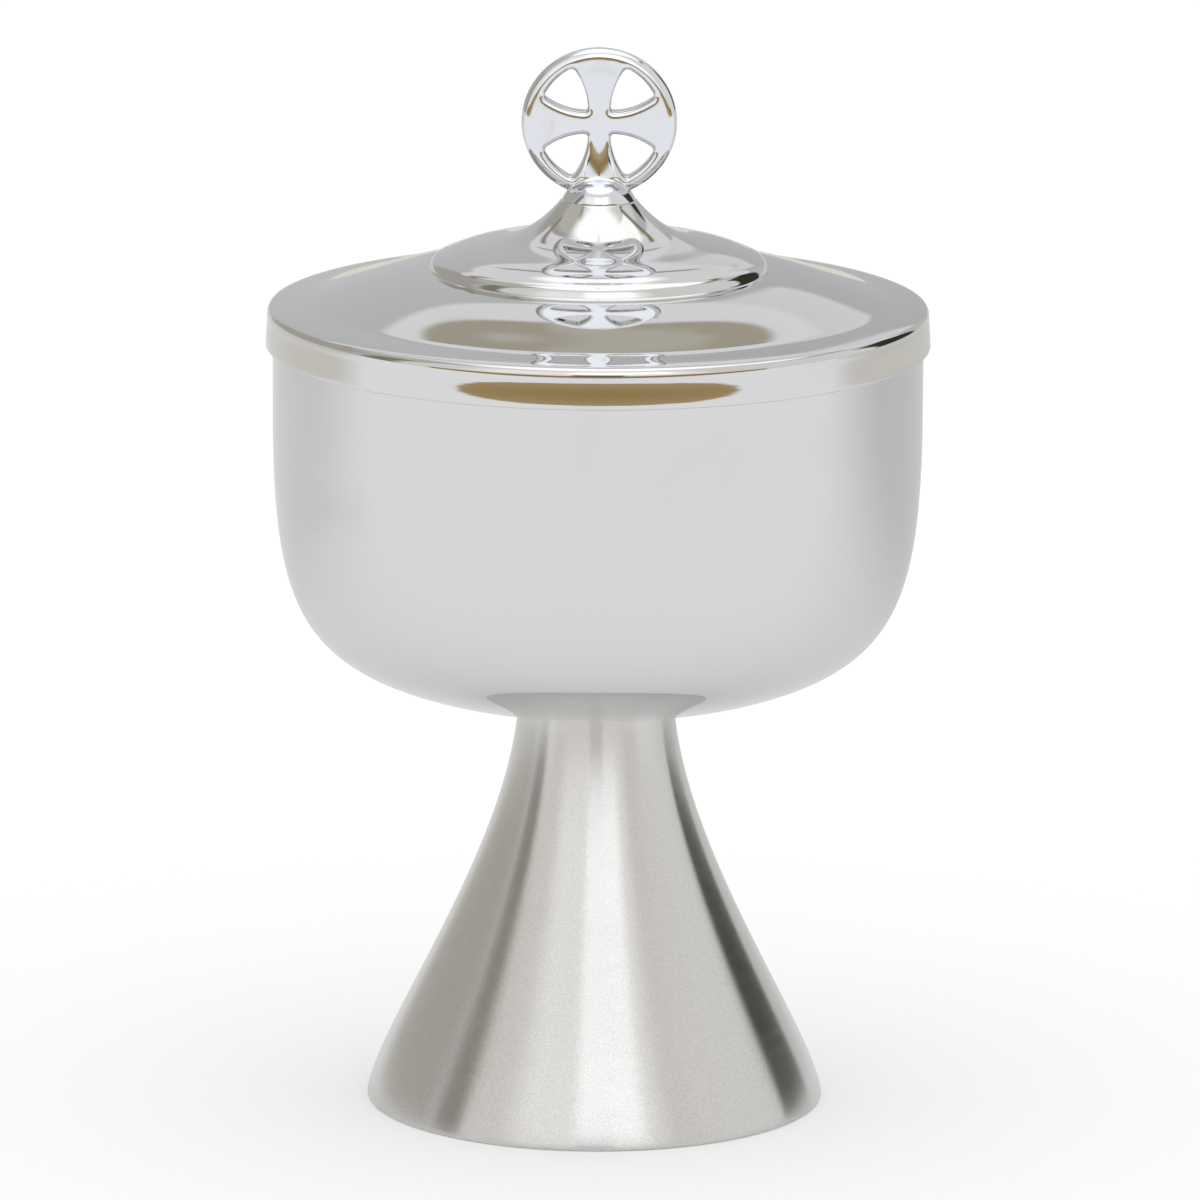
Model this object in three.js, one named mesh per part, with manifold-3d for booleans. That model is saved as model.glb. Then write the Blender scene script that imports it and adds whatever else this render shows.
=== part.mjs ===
// A ciborium: a lidded cup for altar breads, with a spun bowl on a conical spun foot, a domed lid that
// caps the bowl's rim, and a cast ring cross as the lid's finial.
// All sizes are in millimetres and all angles in degrees. +Z is up, the origin is the centre of the
// face that the foot rests on, and the ring cross faces -Y.

import * as THREE from "three";
import { mergeVertices } from "three/addons/utils/BufferGeometryUtils.js";
import Module from "manifold-3d";

// Fits
const FIT_GAP = 0.3; // between curved neighbours that are brazed or screwed together
const LID_CLEARANCE = 0.3; // between the bowl's wall and the lid's skirt
const LID_SEAT_GAP = 0.3; // between the bowl's lip and the lid that rests on it

// Foot: one spun cone, with a curved flank, a narrow neck and a base that is turned in
const FOOT_HEIGHT = 74;
const FOOT_BASE_RADIUS = 41.8;
const FOOT_NECK_RADIUS = 14.25;
const FOOT_WALL = 1;
const FOOT_TOE_RADIUS = 0.4;
const FOOT_FLANGE_WIDTH = 5;
const FOOT_TOE_ANGLE = 98.2;
const FOOT_TOE_PULL = 11.9;
const FOOT_NECK_ANGLE = 93;
const FOOT_NECK_PULL = 27.4;

// Bowl: one spun cup, with a small flat at the bottom, a swelling side and a thickened lip
const BOWL_DEPTH = 73.08;
const BOWL_RADIUS = 59.14;
const BOWL_WALL = 0.9;
const BOWL_FLAT_MARGIN = 0.35;
const BOWL_CURVE_HEIGHT = 54;
const BOWL_BOTTOM_ANGLE = 9.7;
const BOWL_BOTTOM_PULL = 37.9;
const BOWL_SIDE_PULL = 43.2;
const LIP_RADIUS = 0.8;
const LIP_END_ANGLE = 240; // where the rounded lip turns back into the inner wall
const LIP_BLEND = 1.6; // from the lip's centre down to where the wall has its own thickness

// Stem joint: a stud under the bowl draws the bowl down on the foot
const BOWL_DISC_THICKNESS = 2;
const TOP_PLATE_THICKNESS = 2;
const STEM_STUD_RADIUS = 3;
const STEM_STUD_BELOW_NUT = 2;
const STEM_WASHER_RADIUS = 6.5;
const STEM_WASHER_THICKNESS = 1.2;
const LOCK_WASHER_WIDTH = 1.6;
const LOCK_WASHER_THICKNESS = 1.4;
const LOCK_WASHER_SLIT = 0.8;
const STEM_NUT_FLATS = 10;
const STEM_NUT_HEIGHT = 5;

// Lid: one spun shell, with a skirt round the rim, a nearly flat brim, a low crown, a raised step and a
// flared neck
const LID_WALL = 0.7;
const SKIRT_DEPTH = 6.9;
const SKIRT_FLARE = 0.17;
const SKIRT_EDGE_ROUND = 0.3;
const SKIRT_EDGE_ANGLE = 92.8;
const SKIRT_EDGE_PULL = 2;
const SKIRT_TOP_PULL = 2.5;
const BRIM_RADIUS = 50.3; // where the brim folds up into the crown
const BRIM_RISE = 1.96;
const BRIM_EDGE_ANGLE = 120;
const BRIM_EDGE_PULL = 0.96;
const BRIM_FOLD_ANGLE = 171;
const BRIM_FOLD_PULL = 5.1;
const CROWN_RISE = 5.36;
const CROWN_FOLD_ANGLE = 163.5;
const CROWN_FOLD_PULL = 9.5;
const CROWN_TOP_ANGLE = 174.6;
const CROWN_TOP_PULL = 6.3;
const STEP_RADIUS = 30.7;
const STEP_RISE = 2.83;
const STEP_INSET = 3.1;
const STEP_FOOT_ANGLE = 100;
const STEP_FOOT_PULL = 2.2;
const STEP_TOP_PULL = 2;
const NECK_RISE = 9.9;
const NECK_FOOT_ANGLE = 156.2;
const NECK_FOOT_PULL = 8.4;
const NECK_TOP_RADIUS = 6.8;
const NECK_TOP_ANGLE = 129.7;
const NECK_TOP_PULL = 12.4;

// Finial: a cross with flared arms in a ring, cast in one with the domed boss that it stands on
const BOSS_RADIUS = 6.7;
const BOSS_HEIGHT = 4.4;
const RING_CENTRE_RISE = 14.2;
const RING_HALF_WIDTH = 14.1;
const RING_HALF_HEIGHT = 13.6;
const RING_THICKNESS = 4;
const RING_EDGE_ROUND = 0.9;
const WINDOW_RADIUS = 11.15;
const WINDOW_CORNER_ROUND = 0.5;
const ARM_HALF_WIDTH = 2.05;
const ARM_SIDE_RADIUS = 12.8;

// Finial joint: a screwed stud through the top of the lid's neck
const FINIAL_STUD_RADIUS = 2;
const FINIAL_STUD_IN_BOSS = 3;
const FINIAL_STUD_BELOW_NUT = 1.2;
const FINIAL_WASHER_RADIUS = 4.5;
const FINIAL_WASHER_THICKNESS = 0.8;
const FINIAL_NUT_FLATS = 7;
const FINIAL_NUT_HEIGHT = 3.2;

// Small details of the fasteners
const STUD_CHAMFER = 0.5;
const NUT_FACE_SHARE = 0.94; // the round face of a nut, as a share of its width across flats
const CUT_OVERRUN = 1; // how far a bore or a slit is cut past the face that it opens

// Fineness of the round forms
const SHELL_FACETS = 52;
const SMALL_FACETS = 24;
const LONG_CURVE_STEPS = 11;
const MIDDLE_CURVE_STEPS = 8;
const SHORT_CURVE_STEPS = 4;
const LIP_STEPS = 6;
const EDGE_STEPS = 3;
const CAST_ROUND_STEPS = 2;
const WELD_DISTANCE = 1e-4; // vertices nearer than this are one

const wasm = await Module();
wasm.setup();

const polished = () => new THREE.MeshStandardMaterial({ color: 0xd6d6d4, metalness: 1, roughness: 0.06 });
const brushed = () => new THREE.MeshStandardMaterial({ color: 0xc9c6bf, metalness: 1, roughness: 0.34 });
const cast = () => new THREE.MeshStandardMaterial({ color: 0xdadbe0, metalness: 1, roughness: 0.12 });
const plainSteel = () => new THREE.MeshStandardMaterial({ color: 0xa9abad, metalness: 1, roughness: 0.4 });

// A point of a profile: its distance from the axis, and its height.
function point(radius, height) {
  return new THREE.Vector2(radius, height);
}

// A smooth curve between two points. Each end has the direction of travel there, and the pull that
// keeps the curve along it.
function curve(start, startAngle, startPull, end, endAngle, endPull, steps) {
  const handle = (from, degrees, pull) => {
    const angle = THREE.MathUtils.degToRad(degrees);
    return point(from.x + pull * Math.cos(angle), from.y + pull * Math.sin(angle));
  };
  const startHandle = handle(start, startAngle, startPull);
  const endHandle = handle(end, endAngle, -endPull);
  return new THREE.CubicBezierCurve(start, startHandle, endHandle, end).getPoints(steps);
}

// Points on an arc, from one angle to the other.
function arc(centre, radius, fromAngle, toAngle, steps) {
  return Array.from({ length: steps + 1 }, (unused, step) => {
    const angle = fromAngle + ((toAngle - fromAngle) * step) / steps;
    return point(centre.x + radius * Math.cos(angle), centre.y + radius * Math.sin(angle));
  });
}

// The profile moved to the left of its direction of travel, with mitred corners.
function offset(profile, distance) {
  const normals = profile.slice(1).map((to, index) => {
    const along = to.clone().sub(profile[index]).normalize();
    return point(-along.y, along.x);
  });
  return profile.map((at, index) => {
    const before = normals[Math.max(index - 1, 0)];
    const after = normals[Math.min(index, normals.length - 1)];
    const mitre = before.clone().add(after).multiplyScalar(distance / (1 + before.dot(after)));
    return at.clone().add(mitre);
  });
}

// A body of revolution about Z from an anticlockwise profile, closed on itself or on the axis.
function turned(profile, facets) {
  return new THREE.LatheGeometry(profile, facets).rotateX(Math.PI / 2);
}

// A turned shell from its outer profile, followed downwards by its inner one.
function shell(outer, inner) {
  const closed = [...outer, ...inner.toReversed(), outer[0].clone()];
  return turned(closed, SHELL_FACETS);
}

// A flat ring that stands on z = 0.
function flatRing(innerRadius, outerRadius, thickness) {
  const corners = [
    point(innerRadius, 0),
    point(outerRadius, 0),
    point(outerRadius, thickness),
    point(innerRadius, thickness),
    point(innerRadius, 0),
  ];
  return turned(corners, SMALL_FACETS);
}

// A round bar along Z with chamfered ends, which stands on z = 0.
function stud(radius, length) {
  const corners = [
    point(0, 0),
    point(radius - STUD_CHAMFER, 0),
    point(radius, STUD_CHAMFER),
    point(radius, length - STUD_CHAMFER),
    point(radius - STUD_CHAMFER, length),
    point(0, length),
  ];
  return turned(corners, SMALL_FACETS);
}

function solidOf(geometry) {
  const bare = geometry.clone();
  bare.deleteAttribute("normal");
  bare.deleteAttribute("uv");
  const merged = mergeVertices(bare, WELD_DISTANCE);
  const vertProperties = new Float32Array(merged.attributes.position.array);
  const triVerts = new Uint32Array(merged.index.array);
  return new wasm.Manifold(new wasm.Mesh({ numProp: 3, vertProperties, triVerts }));
}

function geometryOf(solid) {
  const mesh = solid.getMesh();
  const geometry = new THREE.BufferGeometry();
  geometry.setAttribute("position", new THREE.BufferAttribute(mesh.vertProperties, 3));
  geometry.setIndex(new THREE.BufferAttribute(mesh.triVerts, 1));
  return geometry;
}

// A hexagon nut that stands on z = 0: a six-sided prism with its corners chamfered, and its bore.
function hexNut(flats, height, boreRadius) {
  const corner = flats / Math.sqrt(3);
  const face = (NUT_FACE_SHARE * flats) / 2;
  const chamfer = (corner - face) / 2;
  const prism = new THREE.CylinderGeometry(corner, corner, height, 6);
  prism.rotateX(Math.PI / 2).translate(0, 0, height / 2);
  const rounded = [
    point(0, 0),
    point(face, 0),
    point(corner, chamfer),
    point(corner, height - chamfer),
    point(face, height),
    point(0, height),
  ];
  const bore = stud(boreRadius, height + 2 * CUT_OVERRUN).translate(0, 0, -CUT_OVERRUN);
  const blank = solidOf(prism).intersect(solidOf(turned(rounded, SMALL_FACETS)));
  return geometryOf(blank.subtract(solidOf(bore)));
}

// A spring washer that stands on z = 0: a square ring cut through on one side.
function splitWasher(innerRadius, width, thickness, slit) {
  const outerRadius = innerRadius + width;
  const cut = new THREE.BoxGeometry(outerRadius, slit, thickness + 2 * CUT_OVERRUN);
  cut.translate((innerRadius + outerRadius) / 2, 0, thickness / 2);
  return geometryOf(solidOf(flatRing(innerRadius, outerRadius, thickness)).subtract(solidOf(cut)));
}

function piece(name, geometry, material, height = 0) {
  const mesh = new THREE.Mesh(geometry, material);
  mesh.name = name;
  mesh.position.z = height;
  return mesh;
}

// Foot

function footShell() {
  const flangeEdge = point(FOOT_BASE_RADIUS - FOOT_FLANGE_WIDTH, 0);
  const toeCentre = point(FOOT_BASE_RADIUS - FOOT_TOE_RADIUS, FOOT_TOE_RADIUS);
  const toe = arc(toeCentre, FOOT_TOE_RADIUS, -Math.PI / 2, 0, EDGE_STEPS);
  const flank = curve(
    toe.at(-1),
    FOOT_TOE_ANGLE,
    FOOT_TOE_PULL,
    point(FOOT_NECK_RADIUS, FOOT_HEIGHT),
    FOOT_NECK_ANGLE,
    FOOT_NECK_PULL,
    LONG_CURVE_STEPS,
  );
  const inner = offset([flangeEdge, point(FOOT_BASE_RADIUS, 0), ...flank.slice(1)], FOOT_WALL);
  inner.at(-1).y = FOOT_HEIGHT;
  return shell([flangeEdge, ...toe, ...flank.slice(1)], inner);
}

// The foot and the screwed joint in its neck, from the bowl downwards.
function foot() {
  const group = new THREE.Group();
  const plateRadius = FOOT_NECK_RADIUS - FOOT_WALL - FIT_GAP;
  const boreRadius = STEM_STUD_RADIUS + FIT_GAP;
  const discHeight = FOOT_HEIGHT - BOWL_DISC_THICKNESS;
  const plateHeight = discHeight - TOP_PLATE_THICKNESS;
  const washerHeight = plateHeight - STEM_WASHER_THICKNESS;
  const lockHeight = washerHeight - LOCK_WASHER_THICKNESS;
  const nutHeight = lockHeight - STEM_NUT_HEIGHT;
  const studHeight = nutHeight - STEM_STUD_BELOW_NUT;
  const studLength = FOOT_HEIGHT - FIT_GAP - studHeight;
  const disc = flatRing(boreRadius, plateRadius, BOWL_DISC_THICKNESS);
  const plate = flatRing(boreRadius, plateRadius, TOP_PLATE_THICKNESS);
  const washer = flatRing(boreRadius, STEM_WASHER_RADIUS, STEM_WASHER_THICKNESS);
  const lock = splitWasher(boreRadius, LOCK_WASHER_WIDTH, LOCK_WASHER_THICKNESS, LOCK_WASHER_SLIT);
  const nut = hexNut(STEM_NUT_FLATS, STEM_NUT_HEIGHT, boreRadius);
  group.add(piece("foot_shell", footShell(), brushed()));
  group.add(piece("bowl_disc", disc, plainSteel(), discHeight));
  group.add(piece("foot_top_plate", plate, plainSteel(), plateHeight));
  group.add(piece("stem_washer", washer, plainSteel(), washerHeight));
  group.add(piece("stem_lock_washer", lock, plainSteel(), lockHeight));
  group.add(piece("stem_nut", nut, plainSteel(), nutHeight));
  group.add(piece("stem_stud", stud(STEM_STUD_RADIUS, studLength), plainSteel(), studHeight));
  return group;
}

// Bowl

const lipCentre = point(BOWL_RADIUS - LIP_RADIUS, BOWL_DEPTH - LIP_RADIUS);

function bowlShell() {
  const flatRadius = FOOT_NECK_RADIUS + BOWL_FLAT_MARGIN;
  const side = curve(
    point(flatRadius, 0),
    BOWL_BOTTOM_ANGLE,
    BOWL_BOTTOM_PULL,
    point(BOWL_RADIUS, BOWL_CURVE_HEIGHT),
    90,
    BOWL_SIDE_PULL,
    LONG_CURVE_STEPS,
  );
  const outer = [point(0, 0), ...side, point(BOWL_RADIUS, lipCentre.y - LIP_BLEND)];
  const lip = arc(lipCentre, LIP_RADIUS, 0, THREE.MathUtils.degToRad(LIP_END_ANGLE), LIP_STEPS);
  const inner = offset(outer, BOWL_WALL);
  return turned([...outer, ...lip, ...inner.toReversed()], SHELL_FACETS);
}

// Lid. Its own height zero is the crease between the skirt and the brim.

const crease = point(BOWL_RADIUS + LID_CLEARANCE + LID_WALL, 0);
const brimFold = point(BRIM_RADIUS, BRIM_RISE);
const stepFoot = point(STEP_RADIUS, brimFold.y + CROWN_RISE);
const stepTop = point(STEP_RADIUS - STEP_INSET, stepFoot.y + STEP_RISE);
const neckTop = point(NECK_TOP_RADIUS, stepTop.y + NECK_RISE);

// The outer side of the skirt, from its rounded edge up to the crease.
function lidSkirt() {
  const edgeRadius = crease.x + SKIRT_FLARE;
  const edgeCentre = point(edgeRadius - SKIRT_EDGE_ROUND, SKIRT_EDGE_ROUND - SKIRT_DEPTH);
  const edge = arc(edgeCentre, SKIRT_EDGE_ROUND, -Math.PI / 2, 0, EDGE_STEPS);
  const side = curve(
    edge.at(-1),
    SKIRT_EDGE_ANGLE,
    SKIRT_EDGE_PULL,
    crease,
    90,
    SKIRT_TOP_PULL,
    SHORT_CURVE_STEPS,
  );
  return { edge, side };
}

// The lid's top from the crease to the hole in its neck.
function lidTop() {
  const brim = curve(
    crease,
    BRIM_EDGE_ANGLE,
    BRIM_EDGE_PULL,
    brimFold,
    BRIM_FOLD_ANGLE,
    BRIM_FOLD_PULL,
    SHORT_CURVE_STEPS,
  );
  const crown = curve(
    brimFold,
    CROWN_FOLD_ANGLE,
    CROWN_FOLD_PULL,
    stepFoot,
    CROWN_TOP_ANGLE,
    CROWN_TOP_PULL,
    MIDDLE_CURVE_STEPS,
  );
  const step = curve(
    stepFoot,
    STEP_FOOT_ANGLE,
    STEP_FOOT_PULL,
    stepTop,
    NECK_FOOT_ANGLE,
    STEP_TOP_PULL,
    SHORT_CURVE_STEPS,
  );
  const neck = curve(
    stepTop,
    NECK_FOOT_ANGLE,
    NECK_FOOT_PULL,
    neckTop,
    NECK_TOP_ANGLE,
    NECK_TOP_PULL,
    MIDDLE_CURVE_STEPS,
  );
  const hole = point(FINIAL_STUD_RADIUS + FIT_GAP, neckTop.y);
  return [...brim, ...crown.slice(1), ...step.slice(1), ...neck.slice(1), hole];
}

// The height of the crease when the lid lies on the bowl: no point of the lid's inner face is then
// nearer to the rounded lip than the seating gap.
function lidHeight(inner) {
  const reach = LIP_RADIUS + LID_SEAT_GAP;
  const overLip = inner.filter((at) => Math.abs(at.x - lipCentre.x) < reach);
  const rests = overLip.map((at) => {
    const above = Math.sqrt(reach ** 2 - (at.x - lipCentre.x) ** 2);
    return FOOT_HEIGHT + lipCentre.y + above - at.y;
  });
  return Math.max(...rests);
}

// Finial

// One window of the cross, in the quadrant with the two signs: the sides of two arms and the inner
// arc of the ring, with rounded corners.
function crossWindow(signX, signY) {
  const armCentre = point(ARM_HALF_WIDTH + ARM_SIDE_RADIUS, ARM_HALF_WIDTH);
  const spread = armCentre.length();
  const along = (spread ** 2 + WINDOW_RADIUS ** 2 - ARM_SIDE_RADIUS ** 2) / (2 * spread);
  const across = Math.sqrt(WINDOW_RADIUS ** 2 - along ** 2);
  const corner = armCentre.clone().multiplyScalar(along / spread);
  corner.add(point(-armCentre.y, armCentre.x).multiplyScalar(across / spread));
  const waist = point(ARM_HALF_WIDTH, ARM_HALF_WIDTH);

  const armTrim = WINDOW_CORNER_ROUND / ARM_SIDE_RADIUS;
  const ringTrim = WINDOW_CORNER_ROUND / WINDOW_RADIUS;
  const armEnd = corner.clone().sub(armCentre).angle();
  const ringStart = corner.angle() - ringTrim;
  const ringEnd = Math.PI / 2 - ringStart;
  const swapped = (at) => point(at.y, at.x);
  const upright = arc(armCentre, ARM_SIDE_RADIUS, Math.PI - armTrim, armEnd + armTrim, SHORT_CURVE_STEPS);
  const rim = arc(point(0, 0), WINDOW_RADIUS, ringStart, ringEnd, SHORT_CURVE_STEPS);
  const level = upright.map(swapped).reverse();

  const round = (from, at, to) => {
    return new THREE.QuadraticBezierCurve(from, at, to).getPoints(CAST_ROUND_STEPS).slice(1, -1);
  };
  const loop = [
    ...upright,
    ...round(upright.at(-1), corner, rim[0]),
    ...rim,
    ...round(rim.at(-1), swapped(corner), level[0]),
    ...level,
    ...round(level.at(-1), waist, upright[0]),
  ];
  return new THREE.Path(loop.map((at) => point(signX * at.x, signY * at.y)));
}

// The ring cross and its boss. Its own height zero is the flat face of the boss.
function ringCross() {
  const outline = new THREE.Shape();
  outline.absellipse(0, 0, RING_HALF_WIDTH, RING_HALF_HEIGHT, 0, 2 * Math.PI);
  for (const signX of [-1, 1]) {
    for (const signY of [-1, 1]) outline.holes.push(crossWindow(signX, signY));
  }
  const depth = RING_THICKNESS - 2 * RING_EDGE_ROUND;
  const wheel = new THREE.ExtrudeGeometry(outline, {
    depth,
    curveSegments: SMALL_FACETS,
    bevelThickness: RING_EDGE_ROUND,
    bevelSize: RING_EDGE_ROUND,
    bevelOffset: -RING_EDGE_ROUND,
    bevelSegments: CAST_ROUND_STEPS,
  });
  wheel.translate(0, 0, -depth / 2).rotateX(Math.PI / 2).translate(0, 0, RING_CENTRE_RISE);

  const sphereRadius = (BOSS_RADIUS ** 2 + BOSS_HEIGHT ** 2) / (2 * BOSS_HEIGHT);
  const sphereCentre = point(0, BOSS_HEIGHT - sphereRadius);
  const startAngle = Math.asin(-sphereCentre.y / sphereRadius);
  const dome = arc(sphereCentre, sphereRadius, startAngle, Math.PI / 2, SHORT_CURVE_STEPS);
  const boss = turned([point(0, 0), ...dome], SMALL_FACETS);
  const boreRadius = FINIAL_STUD_RADIUS + FIT_GAP;
  const bore = stud(boreRadius, CUT_OVERRUN + FINIAL_STUD_IN_BOSS + FIT_GAP);
  bore.translate(0, 0, -CUT_OVERRUN);
  return geometryOf(solidOf(wheel).add(solidOf(boss)).subtract(solidOf(bore)));
}

// The finial and the screwed joint under it. Its own height zero is the top of the lid's neck.
function finial() {
  const group = new THREE.Group();
  const boreRadius = FINIAL_STUD_RADIUS + FIT_GAP;
  const washerHeight = -LID_WALL - FINIAL_WASHER_THICKNESS;
  const nutHeight = washerHeight - FINIAL_NUT_HEIGHT;
  const studHeight = nutHeight - FINIAL_STUD_BELOW_NUT;
  const studLength = FINIAL_STUD_IN_BOSS - studHeight;
  const washer = flatRing(boreRadius, FINIAL_WASHER_RADIUS, FINIAL_WASHER_THICKNESS);
  const nut = hexNut(FINIAL_NUT_FLATS, FINIAL_NUT_HEIGHT, boreRadius);
  group.add(piece("finial_ring_cross", ringCross(), cast()));
  group.add(piece("finial_washer", washer, plainSteel(), washerHeight));
  group.add(piece("finial_nut", nut, plainSteel(), nutHeight));
  group.add(piece("finial_stud", stud(FINIAL_STUD_RADIUS, studLength), plainSteel(), studHeight));
  group.position.z = neckTop.y;
  return group;
}

function lid() {
  const group = new THREE.Group();
  const top = lidTop();
  const { edge, side } = lidSkirt();
  const inner = offset([...side, ...top.slice(1)], LID_WALL);
  inner[0].y = -SKIRT_DEPTH;
  const outer = [...edge, ...side.slice(1), ...top.slice(1)];
  group.add(piece("lid_shell", shell(outer, inner), polished()));
  group.add(finial());
  group.position.z = lidHeight(inner);
  return group;
}

const ciborium = new THREE.Group();
ciborium.add(foot());
ciborium.add(piece("bowl", bowlShell(), polished(), FOOT_HEIGHT));
ciborium.add(lid());

export default ciborium;
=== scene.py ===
"""A lidded ciborium of polished steel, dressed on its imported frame.

The bowl and the lid are mirror-polished spun shells, the foot is a spun cone that is brushed round its
axis, and the finial is a hand-polished casting of a ring cross. Sizes are in millimetres in the classes
below and become metres where a mesh is made. +Z is up and the ring cross faces -Y.
"""

import logging
import math
from dataclasses import dataclass, field
from enum import Enum

import bmesh
import bpy
from mathutils import Matrix, Vector
from mathutils.geometry import interpolate_bezier


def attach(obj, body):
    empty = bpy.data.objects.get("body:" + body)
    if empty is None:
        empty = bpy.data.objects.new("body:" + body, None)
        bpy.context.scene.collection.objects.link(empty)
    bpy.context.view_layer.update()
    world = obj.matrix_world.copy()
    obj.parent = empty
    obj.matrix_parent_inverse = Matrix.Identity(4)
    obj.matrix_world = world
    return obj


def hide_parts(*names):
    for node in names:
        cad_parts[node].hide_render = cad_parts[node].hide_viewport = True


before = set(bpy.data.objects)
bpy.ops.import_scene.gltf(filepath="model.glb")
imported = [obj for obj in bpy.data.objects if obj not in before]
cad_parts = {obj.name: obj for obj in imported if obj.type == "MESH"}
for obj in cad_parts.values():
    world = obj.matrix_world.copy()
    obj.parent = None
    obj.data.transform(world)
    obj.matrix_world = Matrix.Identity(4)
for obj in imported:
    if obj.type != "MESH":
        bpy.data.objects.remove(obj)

LOG = logging.getLogger("ciborium")
MM = 0.001
AXIS = Vector((0, 0, 1))
SPIN_STEPS = 224
SMALL_STEPS = 96
SHARP_ANGLE = math.radians(38)
MERGE = 1e-4
EASE = 0.62
INNER_SIDE = "inner_side"

Colour = tuple[float, float, float]
Shape = bmesh.types.BMesh
Socket = bpy.types.NodeSocket


class Body(Enum):
    """The bodies that pieces ride on."""

    VESSEL = "vessel"
    LID = "lid"


class Slot(Enum):
    """The record's material slots."""

    POLISHED = "polished_vessel"
    CASTING = "polished_casting"
    BRUSHED = "brushed_foot"
    PLAIN = "plain_steel"


class Join(Enum):
    """The ways in which two solids are combined."""

    CUT = "DIFFERENCE"
    COMMON = "INTERSECT"


# Meshes


def at(radius: float, height: float) -> Vector:
    """Returns a point of a half section, by its distance from the axis and its height."""
    return Vector((radius, 0, height))


def bend(
    start: Vector,
    start_angle: float,
    start_pull: float,
    end: Vector,
    end_angle: float,
    end_pull: float,
    steps: int,
) -> list[Vector]:
    """Draws one smooth curve of a half section.

    Args:
        start: The first point.
        start_angle: The direction of travel there, in degrees from the outward radius.
        start_pull: The reach of the handle there.
        end: The last point.
        end_angle: The direction of travel at the end.
        end_pull: The reach of the handle at the end.
        steps: The number of spans.

    Returns:
        The points of the curve, both ends included.
    """
    lead = math.radians(start_angle)
    trail = math.radians(end_angle)
    first = start + start_pull * Vector((math.cos(lead), 0, math.sin(lead)))
    second = end - end_pull * Vector((math.cos(trail), 0, math.sin(trail)))
    return [Vector(p) for p in interpolate_bezier(start, first, second, end, steps + 1)]


def arc(centre: Vector, radius: float, start: float, end: float, steps: int) -> list[Vector]:
    """Returns points on an arc in the XZ plane, between two angles in degrees."""
    angles = [math.radians(start + (end - start) * step / steps) for step in range(steps + 1)]
    return [centre + radius * Vector((math.cos(angle), 0, math.sin(angle))) for angle in angles]


def eased(points: list[Vector], tip: Vector, reach: float, steps: int = 8) -> list[Vector]:
    """Rounds one corner of a half section.

    Args:
        points: The section.
        tip: The corner.
        reach: How far from the corner the rounding starts.
        steps: The number of spans of the rounding.

    Returns:
        The section with its corner rounded.
    """
    corner = min(range(len(points)), key=lambda index: (points[index] - tip).length)
    before = [p for p in points[:corner] if (p - tip).length > reach]
    after = [p for p in points[corner + 1 :] if (p - tip).length > reach]
    into = tip + reach * (before[-1] - tip).normalized()
    out = tip + reach * (after[0] - tip).normalized()
    turn = interpolate_bezier(into, into.lerp(tip, EASE), out.lerp(tip, EASE), out, steps + 1)
    return before + [Vector(p) for p in turn] + after


def holder_of(shape: Shape, name: str) -> bpy.types.Object:
    """Puts a bmesh into a new object of the scene, and frees it."""
    mesh = bpy.data.meshes.new(name)
    shape.to_mesh(mesh)
    shape.free()
    holder = bpy.data.objects.new(name, mesh)
    bpy.context.scene.collection.objects.link(holder)
    return holder


def released(*holders: bpy.types.Object) -> Shape:
    """Takes the finished shape of the first object, and removes all of them.

    Args:
        holders: Objects of the scene, of which the first one has the modifiers.

    Returns:
        The first object's shape, with its modifiers applied.
    """
    graph = bpy.context.evaluated_depsgraph_get()
    made = holders[0].evaluated_get(graph)
    shape = bmesh.new()
    shape.from_mesh(made.to_mesh())
    made.to_mesh_clear()
    for holder in holders:
        bpy.data.objects.remove(holder, do_unlink=True)
    return shape


def combined(shape: Shape, other: Shape, way: Join) -> Shape:
    """Combines two closed shapes.

    Args:
        shape: The first shape. It is freed.
        other: The second shape. It is freed.
        way: How they are combined.

    Returns:
        The new shape.
    """
    holder, tool = holder_of(shape, "Holder"), holder_of(other, "Tool")
    change = holder.modifiers.new("Join", "BOOLEAN")
    change.operation = way.value
    change.solver = "EXACT"
    change.object = tool
    return released(holder, tool)


def piece_of(shape: Shape, name: str, sharp: float = SHARP_ANGLE) -> bpy.types.Object:
    """Makes an object of a finished bmesh.

    Args:
        shape: The mesh, in millimetres. It is freed.
        name: The name of the piece.
        sharp: The angle from which an edge stays sharp.

    Returns:
        The object at the origin, smooth but for its sharp edges.
    """
    bmesh.ops.scale(shape, vec=(MM, MM, MM), verts=shape.verts)
    for face in shape.faces:
        face.smooth = True
    piece = holder_of(shape, name)
    piece.data.set_sharp_from_angle(angle=sharp)
    return piece


def swept(
    shape: Shape,
    geometry: list,
    steps: int = SPIN_STEPS,
    angle: float = 2 * math.pi,
    rise: float = 0.0,
    merge: bool = True,
) -> None:
    """Turns a part of a shape round the axis.

    Args:
        shape: The shape.
        geometry: The vertices and edges that are turned.
        steps: The number of steps of the turn.
        angle: The angle of the turn.
        rise: How far each step climbs.
        merge: Whether the end meets the start.
    """
    bmesh.ops.spin(
        shape,
        geom=geometry,
        cent=(0, 0, 0),
        axis=AXIS,
        dvec=(0, 0, rise),
        angle=angle,
        steps=steps,
        use_merge=merge,
        use_normal_flip=False,
        use_duplicate=False,
    )


def chained(shape: Shape, places: list[Vector], closed: bool = False) -> list:
    """Draws a line of edges into an empty shape and returns its vertices and edges."""
    points = [shape.verts.new(place) for place in places]
    for one, two in zip(points, points[1:]):
        shape.edges.new((one, two))
    if closed:
        shape.edges.new((points[-1], points[0]))
    return shape.verts[:] + shape.edges[:]


def all_of(shape: Shape) -> list:
    """Returns all vertices, edges and faces of a shape."""
    return shape.verts[:] + shape.edges[:] + shape.faces[:]


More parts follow.
